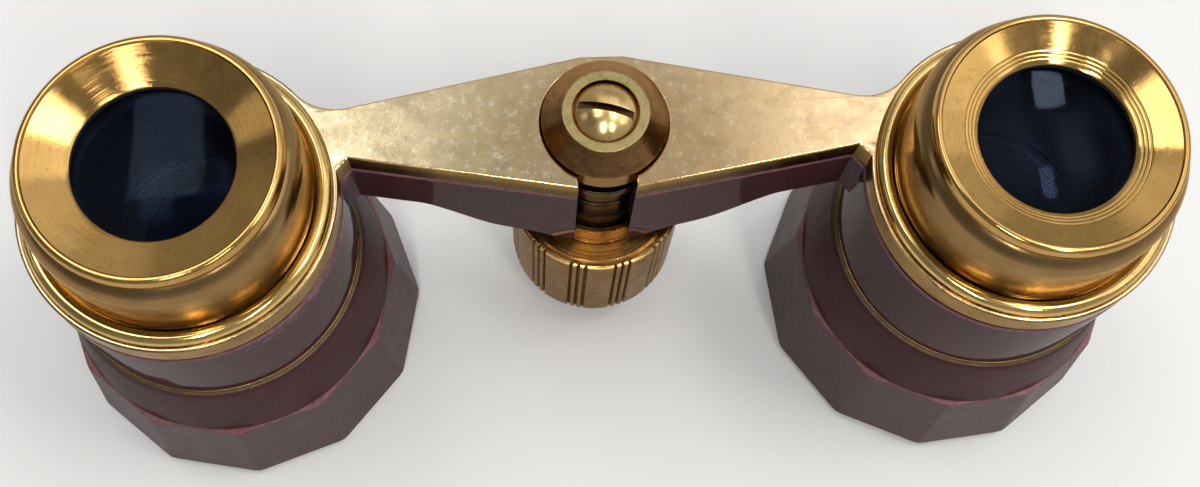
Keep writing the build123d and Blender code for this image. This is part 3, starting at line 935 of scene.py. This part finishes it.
def focusing_pillar():
    """Dark tube with three turned grooves and a flange, seen through the slot."""
    flange = pillar.r
    r = 4.0
    profile = rounded([
        (2.58, pillar.low), (3.5, pillar.low), (3.5, 20.1), (r, 20.3),
        (r, 21.2, 0.05), (3.86, 21.3), (3.86, 21.5), (r, 21.6, 0.05),
        (r, 22.6, 0.05), (3.8, 22.72), (3.8, 23.6), (r, 23.75, 0.05),
        (r, 24.9, 0.05), (3.9, 25.0), (3.9, 25.2), (r, 25.3, 0.05),
        (r, 26.4), (flange, 26.45, 0.1), (flange, 27.2, 0.1), (r, 27.25), (r, 28.97),
        (1.53, 28.97), (1.53, 25.5), (2.58, 25.5)], 3)
    piece = turned("pillar", profile, pillar, pillar_look, 128)
    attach(piece, "carriage")
    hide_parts("focusing_pillar")


def focusing_wheel():
    """Wheel with twelve groups of three V grooves cut through its wall and rim."""
    groups, in_group, step = 12, 3, 5.0
    half_width, depth = 1.35, 0.32    # of a groove: degrees, and millimetres at its bottom
    groove = ((-1.0, 0.0), (-0.85, 0.12), (-0.1, 1.0), (0.1, 1.0), (0.85, 0.12), (1.0, 0.0))
    half_group = 180 / groups
    land, land_steps = half_group - step - half_width, 8
    stations = []                     # angle in degrees, share of the groove's depth
    for group in range(groups):
        middle = (group + 0.5) * 360 / groups
        for k in range(land_steps):
            stations.append((middle - half_group + land * k / land_steps, 0.0))
        for flute in range(in_group):
            centre = middle + (flute - 1) * step
            for share, cut in groove:
                stations.append((centre + share * half_width, cut))
            if flute < in_group - 1:
                stations.append((centre + step / 2, 0.0))
        for k in range(1, land_steps):
            stations.append((middle + step + half_width + land * k / land_steps, 0.0))
    r, low, top = wheel.r, wheel.low, 16.2
    bottom = arc((r - 0.9, low + 0.9), 0.9, -88, -4, 8)
    rim = [(r, top - 0.22), (r - 0.07, top - 0.07), (r - 0.22, top)]
    face = [(r - 0.42, top), (r - 0.5, top - 0.05), (r - 0.82, top - 0.85), (r - 0.95, top - 0.78),
            (r - 1.3, top - 0.78), (r - 1.36, top - 0.7), (r - 1.62, top - 0.7),
            (r - 1.68, top - 0.6), (r - 1.9, top - 0.6), (r - 1.95, top - 0.68),
            (r - 2.05, top - 0.68), (r - 2.1, top - 0.6)]
    neck = [(4.1, top - 0.6), (4.1, 19.0), (3.9, 19.0), (3.9, 19.5), (4.1, 19.5), (4.1, wheel.high)]
    bore = [(3.58, wheel.high), (3.58, 7.5), (2.53, 7.5), (2.53, 5.35), (1.63, 5.35), (1.63, low)]
    profile = bottom + rim + face + neck + bore
    bm = bmesh.new()
    rings = []
    for pr, pz in profile:
        ring = []
        for angle, cut in stations:
            reach = min(pr, r - cut * depth) if pr > r - 0.45 else pr
            ring.append(ring_vert(bm, reach, math.radians(angle), pz))
        rings.append(ring)
    skin(bm, rings, True)
    piece = new_object("wheel", finish_mesh(bm, "wheel", 24), wheel_look)
    piece.location = (wheel.x * MM, SPINDLE_Y * MM, 0)

    def on_face(face):
        out = from_axis(face)
        upward = out < r - 0.02 and (face.normal.z > 0.3 or out < r - 0.4)
        return upward and face.center.z / MM > top - 1.0

    paint(piece, wheel_face_look, on_face)
    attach(piece, "wheel")
    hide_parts("focusing_wheel")


for which in SIDES:
    eyepiece_cup(which)
    eyepiece_tube(which)
    bead_ring(which)
    eye_lens(which)
    seam_ring(which)
# The cells stand turned by different angles, in degrees.
objective_cell("left", 3.8)
objective_cell("right", 21.0)
eyepiece_bridge()
body()
cone_cap()
cap_screw()
focusing_pillar()
focusing_wheel()

# CAD nodes that keep their own shape
KEPT = {
    "guide_sleeve": felt_look, "glare_stop": black_look, "objective_retainer": black_look,
    "eye_lens_retainer": black_look, "objective_front_lens": objective_look,
    "objective_rear_lens": objective_look, "bearing_ring": bearing_look, "neck_clip": pillar_look,
    "focusing_screw": pillar_look, "wheel_nut": wheel_face_look, "wave_washer": pillar_look}
for node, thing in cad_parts.items():
    look = KEPT.get(node.replace("left_", "").replace("right_", ""))
    if look and not thing.hide_render:
        thing.data.materials.clear()
        thing.data.materials.append(look)


# ---------------------------------------------------------------- stage
def floor():
    """Pale floor, just below the part so that no faces coincide."""
    m = Nodes("pale_floor", (0.8, 0.8, 0.8), Roughness=0.8)
    tone = m.fit(m.noise(0.02, 3.0), 0.3, 0.7)
    m.set(Base_Color=m.mix(tone, (0.81, 0.81, 0.81), (0.78, 0.78, 0.78)))
    bm = bmesh.new()
    bmesh.ops.create_grid(bm, x_segments=8, y_segments=8, size=3.0)
    mesh = bpy.data.meshes.new("floor")
    bm.to_mesh(mesh)
    bm.free()
    thing = new_object("floor", mesh, m.material)
    thing.location.z = cad_low.z - 0.02 * MM


def lamp(name, target, direction, distance, size, power, colour=(1, 1, 1), stretch=1.0):
    """Soft panel that faces a target point, seen from it in the given direction. Its width runs
    left to right and its stretched side front to back."""
    light = bpy.data.lights.new(name, "AREA")
    light.shape = "RECTANGLE"
    light.size = size
    light.size_y = size * stretch
    light.energy = power
    light.color = colour
    thing = bpy.data.objects.new(name, light)
    scene.collection.objects.link(thing)
    toward = Vector(direction).normalized()
    thing.location = Vector(target) + toward * distance
    across = Vector((1, 0, 0))
    across = (across - toward * across.dot(toward)).normalized()
    thing.rotation_euler = Matrix((across, toward.cross(across), toward)).transposed().to_euler()


def studio():
    """World that darkens towards the zenith and is brighter to the right, and the lamps."""
    world = bpy.data.worlds.new("studio")
    scene.world = world
    world.use_nodes = True
    tree = world.node_tree
    background = tree.nodes["Background"]
    coords = tree.nodes.new("ShaderNodeTexCoord")
    split = tree.nodes.new("ShaderNodeSeparateXYZ")
    ramp = tree.nodes.new("ShaderNodeValToRGB")
    tree.links.new(coords.outputs["Generated"], split.inputs[0])
    tree.links.new(split.outputs[2], ramp.inputs[0])
    tree.links.new(ramp.outputs[0], background.inputs[0])
    side = tree.nodes.new("ShaderNodeMath")
    side.operation = "MULTIPLY_ADD"
    side.inputs[1].default_value = 0.45
    side.inputs[2].default_value = 1.0
    tree.links.new(split.outputs[0], side.inputs[0])
    tree.links.new(side.outputs[0], background.inputs[1])
    stops = [(0.0, 0.60), (0.12, 0.52), (0.30, 0.36), (0.55, 0.35), (0.80, 0.26), (1.0, 0.28)]
    elements = ramp.color_ramp.elements
    while len(elements) < len(stops):
        elements.new(0.5)
    for element, (place, value) in zip(elements, stops):
        element.position = place
        element.color = (value, value, value, 1)
    left_cup = Vector((cup["left"].x, 0, cup["left"].high)) * MM
    right_cup = Vector((cup["right"].x, 0, cup["right"].high)) * MM
    origin = (0, 0, 0.03)
    cool, warm = (1.0, 0.99, 0.97), (1.0, 0.98, 0.94)
    lamp("strip_left", left_cup, (-0.045, -0.50, 0.866), 0.5, 0.028, 0.6, warm, 6.8)
    lamp("strip_right", right_cup, (0.245, -0.48, 0.84), 0.72, 0.038, 0.85, warm, 6.4)
    lamp("side_right", left_cup, (0.405, 0.045, 0.91), 0.7, 0.085, 0.85, warm, 2.3)
    lamp("glint_right", right_cup, (0.67, -0.22, 0.71), 0.8, 0.12, 0.12, warm)
    lamp("glint_left", origin, (-0.8, 0.13, 0.58), 1.0, 0.25, 0.14, warm)
    lamp("glint_back", origin, (-0.16, 0.89, 0.42), 1.0, 0.32, 0.09, warm)
    lamp("fill_left", origin, (-0.62, 0.70, 0.33), 1.0, 0.7, 0.14, warm)
    lamp("fill_right", origin, (0.80, 0.53, 0.28), 1.0, 0.4, 0.12, warm)
    lamp("overhead", origin, (0.15, 0.52, 0.84), 1.0, 0.85, 1.7, cool)
    lamp("window_left", origin, (-0.325, 0.24, 1.0), 0.85, 0.22, 1.3, cool, 1.9)
    lamp("window_right", origin, (0.70, 0.14, 0.70), 0.9, 0.55, 1.3, cool, 1.2)
    lamp("window_back", origin, (0.30, 0.36, 1.0), 0.9, 0.12, 0.15, cool, 2.0)


def camera():
    """The photo's viewpoint, from the perspective fit."""
    data = bpy.data.cameras.new("camera")
    data.sensor_width = 36.0
    data.lens = 43.35
    data.clip_start = 0.005
    thing = bpy.data.objects.new("camera", data)
    scene.collection.objects.link(thing)
    forward = Vector((0.0545, 0.3056, -0.9506)).normalized()
    right = Vector((0.998, -0.0465, 0.0423))
    up = right.cross(forward).normalized()
    right = forward.cross(up)
    turn = Matrix((right, up, -forward)).transposed()
    thing.matrix_world = Matrix.Translation(Vector((-6.45, -36.25, 129.03)) * MM) @ turn.to_4x4()
    scene.camera = thing


floor()
studio()
camera()
scene.view_settings.view_transform = "Standard"
